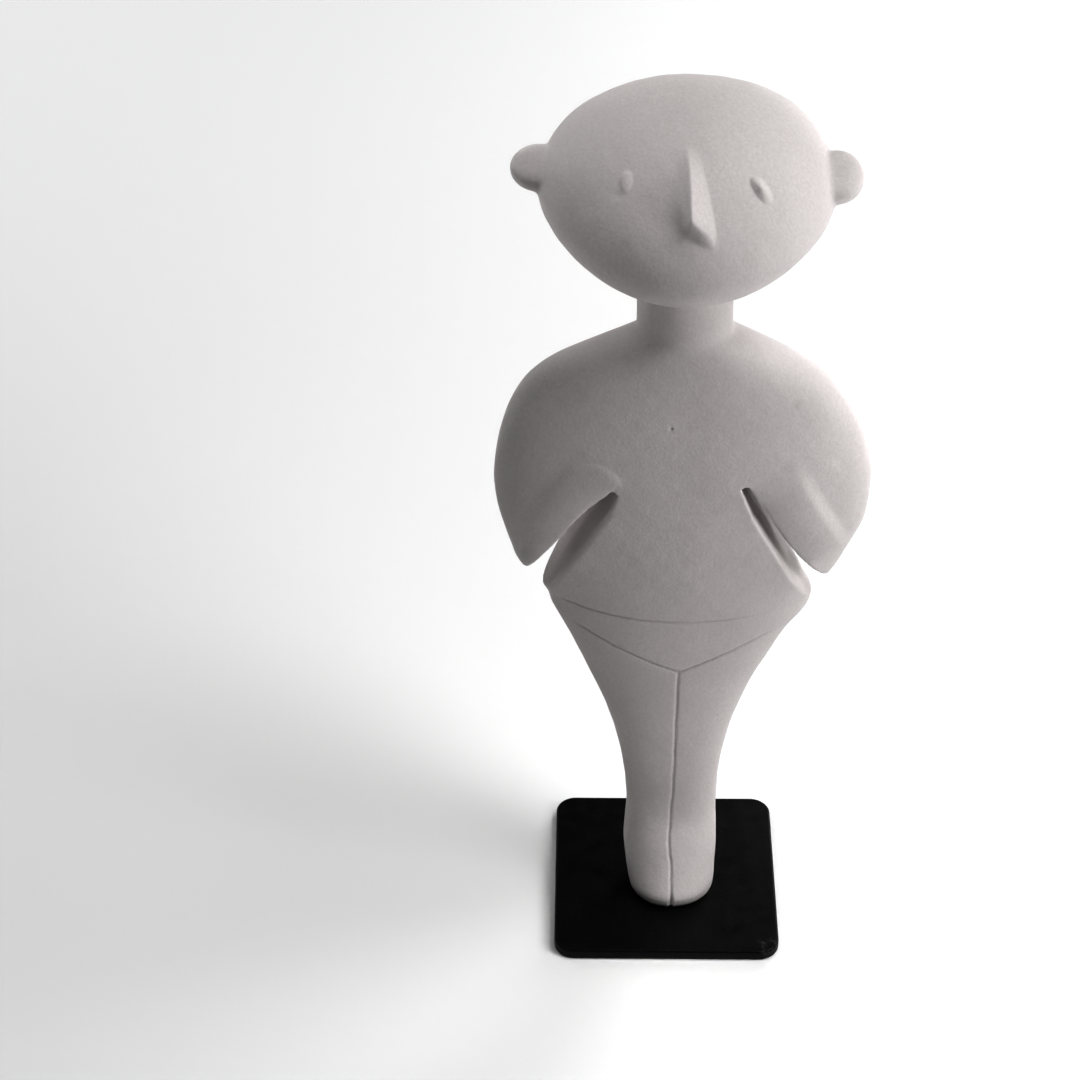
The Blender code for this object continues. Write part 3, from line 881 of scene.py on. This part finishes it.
def plate_piece():
    bm = bmesh.new()
    bmesh.ops.create_cube(bm, size=1)
    size = PLATE_HIGH - PLATE_LOW
    bmesh.ops.scale(bm, vec=size, verts=bm.verts)
    bmesh.ops.translate(bm, vec=(PLATE_LOW + PLATE_HIGH) / 2, verts=bm.verts)
    upright = [e for e in bm.edges if rise_of(e) > size.z / 2]
    rounded(bm, upright, PLATE_CORNER_RADIUS, PLATE_CORNER_SEGMENTS)
    level = [e for e in bm.edges if rise_of(e) < 1e-6]
    rounded(bm, level, PLATE_RIM_ROUND, PLATE_RIM_SEGMENTS)
    plate = object_of(bm, "plate_slab")
    plate.data.shade_smooth()
    plate.data.set_sharp_from_angle(angle=math.radians(PLATE_SHARP_ANGLE))
    return plate


def area_light(name, at, aim, size, spread, power):
    data = bpy.data.lights.new(name, "AREA")
    data.shape = "DISK"
    data.size = size
    data.spread = math.radians(spread)
    data.energy = power
    made = bpy.data.objects.new(name, data)
    made.location = at
    made.rotation_mode = "QUATERNION"
    made.rotation_quaternion = (Vector(aim) - Vector(at)).to_track_quat("-Z", "Y")
    made.visible_camera = False
    bpy.context.scene.collection.objects.link(made)


def backdrop():
    """A pale ring and dome round the lit floor. The camera sees it, and it lights nothing."""
    turns = [2 * math.pi * i / BACKDROP_AROUND for i in range(BACKDROP_AROUND)]
    points = [(r * math.cos(a), r * math.sin(a), z) for r, z in BACKDROP_PROFILE for a in turns]
    dome = mesh_object("backdrop", points, ring_faces(len(BACKDROP_PROFILE), BACKDROP_AROUND))
    dome.data.shade_smooth()
    made, nodes, links, shader = nodes_of("pale_backdrop")
    nodes.remove(shader)
    from_middle = nodes.new("ShaderNodeVectorMath")
    from_middle.operation = "LENGTH"
    links.new(nodes.new("ShaderNodeTexCoord").outputs["Object"], from_middle.inputs[0])
    glow = nodes.new("ShaderNodeEmission")
    glow.inputs["Strength"].default_value = BACKDROP_SHADE
    blend = nodes.new("ShaderNodeMixShader")
    share = spread(nodes, links, from_middle.outputs["Value"], 0, 1, *BACKDROP_FADE)
    links.new(share, blend.inputs["Fac"])
    links.new(nodes.new("ShaderNodeBsdfTransparent").outputs["BSDF"], blend.inputs[1])
    links.new(glow.outputs["Emission"], blend.inputs[2])
    links.new(blend.outputs["Shader"], nodes["Material Output"].inputs["Surface"])
    dome.data.materials.append(made)
    dome.visible_diffuse = False
    dome.visible_glossy = False
    dome.visible_transmission = False
    dome.visible_shadow = False


def studio():
    far = FLOOR_HALF_SIDE
    corners = [(-far, -far, 0), (far, -far, 0), (far, far, 0), (-far, far, 0)]
    floor = mesh_object("floor", corners, [(0, 1, 2, 3)])
    made, _, _, shader = nodes_of("pale_floor")
    shader.inputs["Base Color"].default_value = FLOOR_COLOUR
    shader.inputs["Roughness"].default_value = FLOOR_ROUGHNESS
    floor.data.materials.append(made)
    backdrop()
    world = bpy.data.worlds.new("studio")
    bpy.context.scene.world = world
    world.use_nodes = True
    background = world.node_tree.nodes["Background"]
    background.inputs["Color"].default_value = (1, 1, 1, 1)
    background.inputs["Strength"].default_value = WORLD_STRENGTH
    for light in LIGHTS:
        area_light(*light)
    view = bpy.context.scene.view_settings
    view.view_transform = "Standard"
    view.gamma = VIEW_GAMMA


def camera():
    data = bpy.data.cameras.new("camera")
    data.lens = CAMERA_LENS
    data.sensor_width = CAMERA_SENSOR
    data.clip_start, data.clip_end = CAMERA_CLIP
    made = bpy.data.objects.new("camera", data)
    pitch, yaw = math.radians(CAMERA_PITCH), math.radians(CAMERA_YAW)
    look = Matrix.Rotation(yaw, 4, "Z") @ Matrix.Rotation(math.pi / 2 - pitch, 4, "X")
    look = look @ Matrix.Rotation(math.radians(CAMERA_ROLL), 4, "Z")
    made.matrix_world = Matrix.Translation(CAMERA_AT) @ look
    bpy.context.scene.collection.objects.link(made)
    bpy.context.scene.camera = made


def main():
    figure = figure_cast()
    figure.data.materials.clear()
    figure.data.materials.append(cast_stone())
    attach(figure, "root")
    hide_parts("figure")
    plate = plate_piece()
    plate.data.materials.append(black_satin())
    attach(plate, "root")
    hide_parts("base_plate")
    studio()
    camera()


main()
